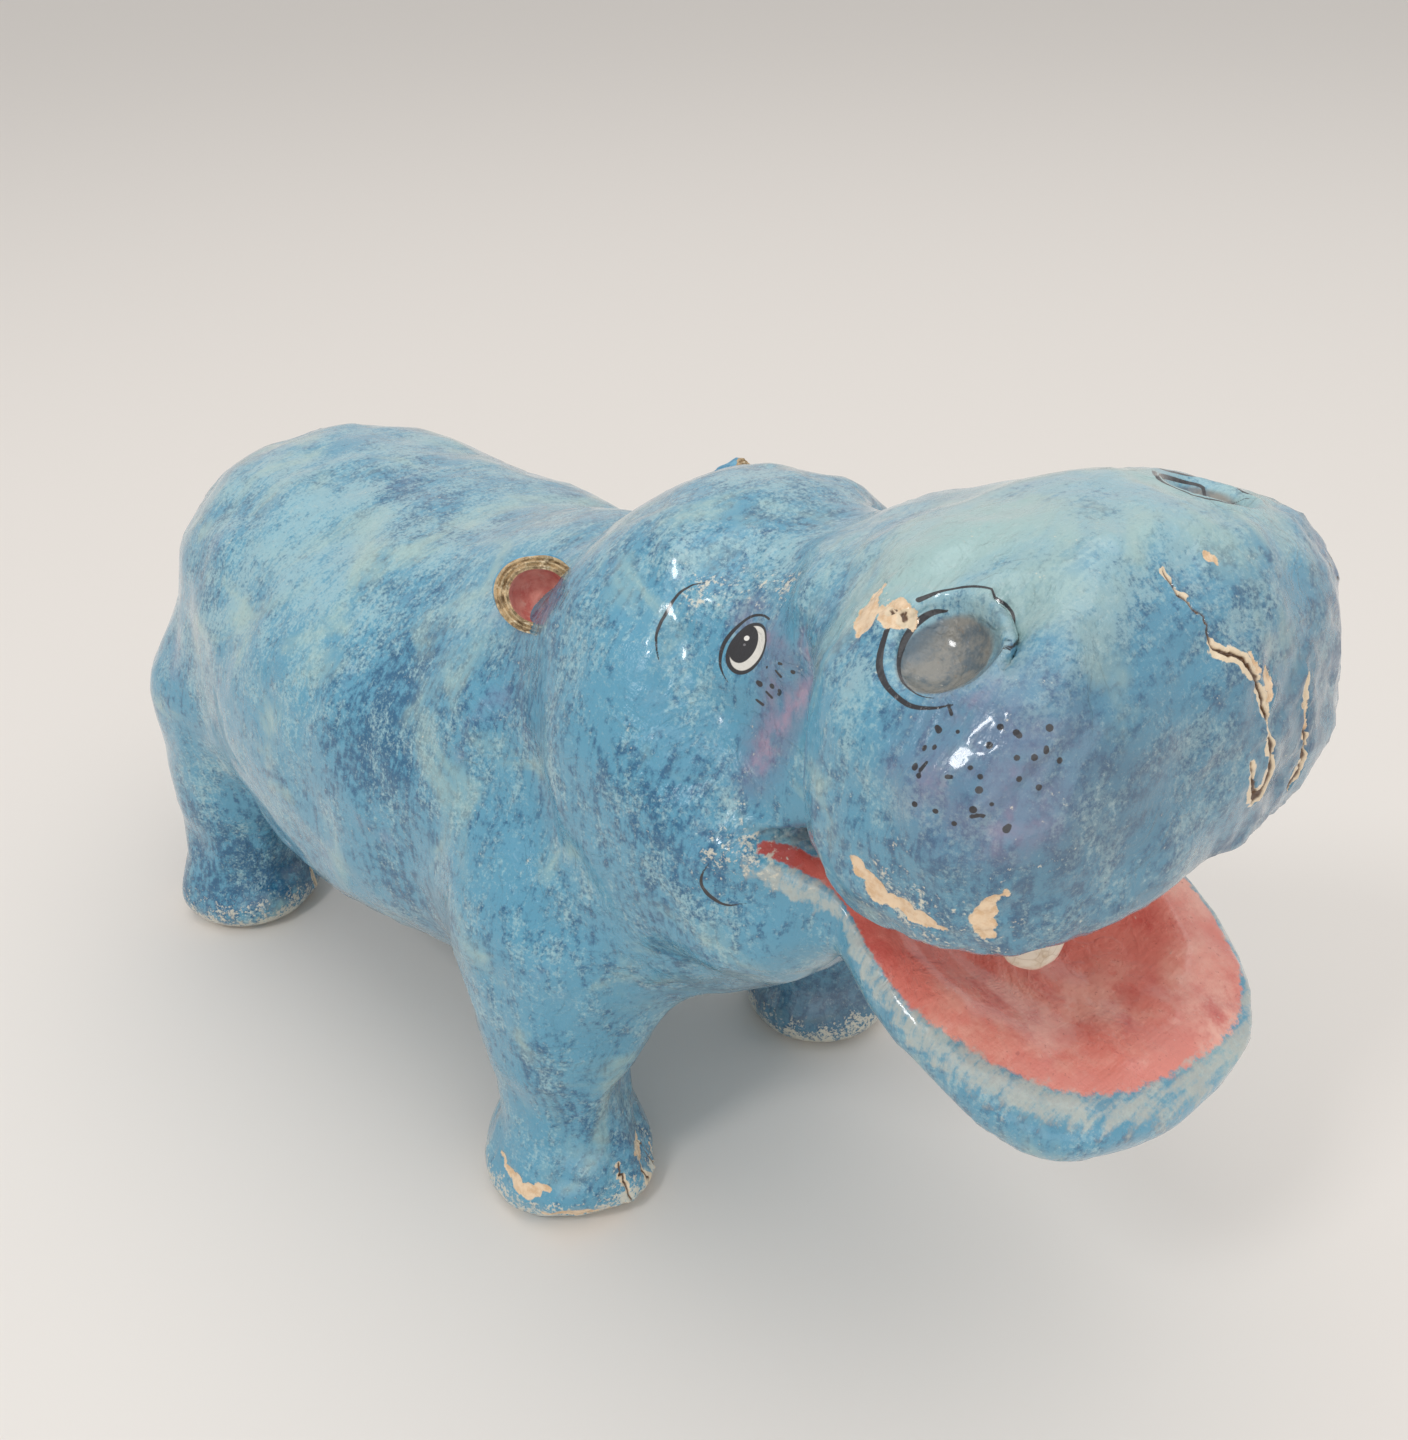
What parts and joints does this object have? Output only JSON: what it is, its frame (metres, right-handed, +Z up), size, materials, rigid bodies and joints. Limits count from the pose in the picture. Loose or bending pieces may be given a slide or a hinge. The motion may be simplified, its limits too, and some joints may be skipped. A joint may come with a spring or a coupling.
{
  "type": "papier-mache hippopotamus",
  "caption": "Standing hand-painted papier-mache hippopotamus with a barrel body, short round legs, cupped ears and a wide open mouth.",
  "frame": {"origin": "middle of the bounding box, on the surface that the soles stand on", "axes": "+Z up, +Y from the muzzle towards the rump, +X to the animal's left"},
  "size_m": [0.2222, 0.5558, 0.3191],
  "materials": {
    "painted_shell": "hand-painted in mottled blue, with a rose-red mouth, under a worn gloss varnish",
    "ear_paper": "rose-red inside, with a torn bare paper rim",
    "tooth_paint": "off-white paint under gloss varnish"
  },
  "bodies": {
    "root": {"body": "painted_shell", "ear_right": "ear_paper", "ear_left": "ear_paper", "tooth_right": "tooth_paint", "tooth_left": "tooth_paint"}
  },
  "joints": []
}
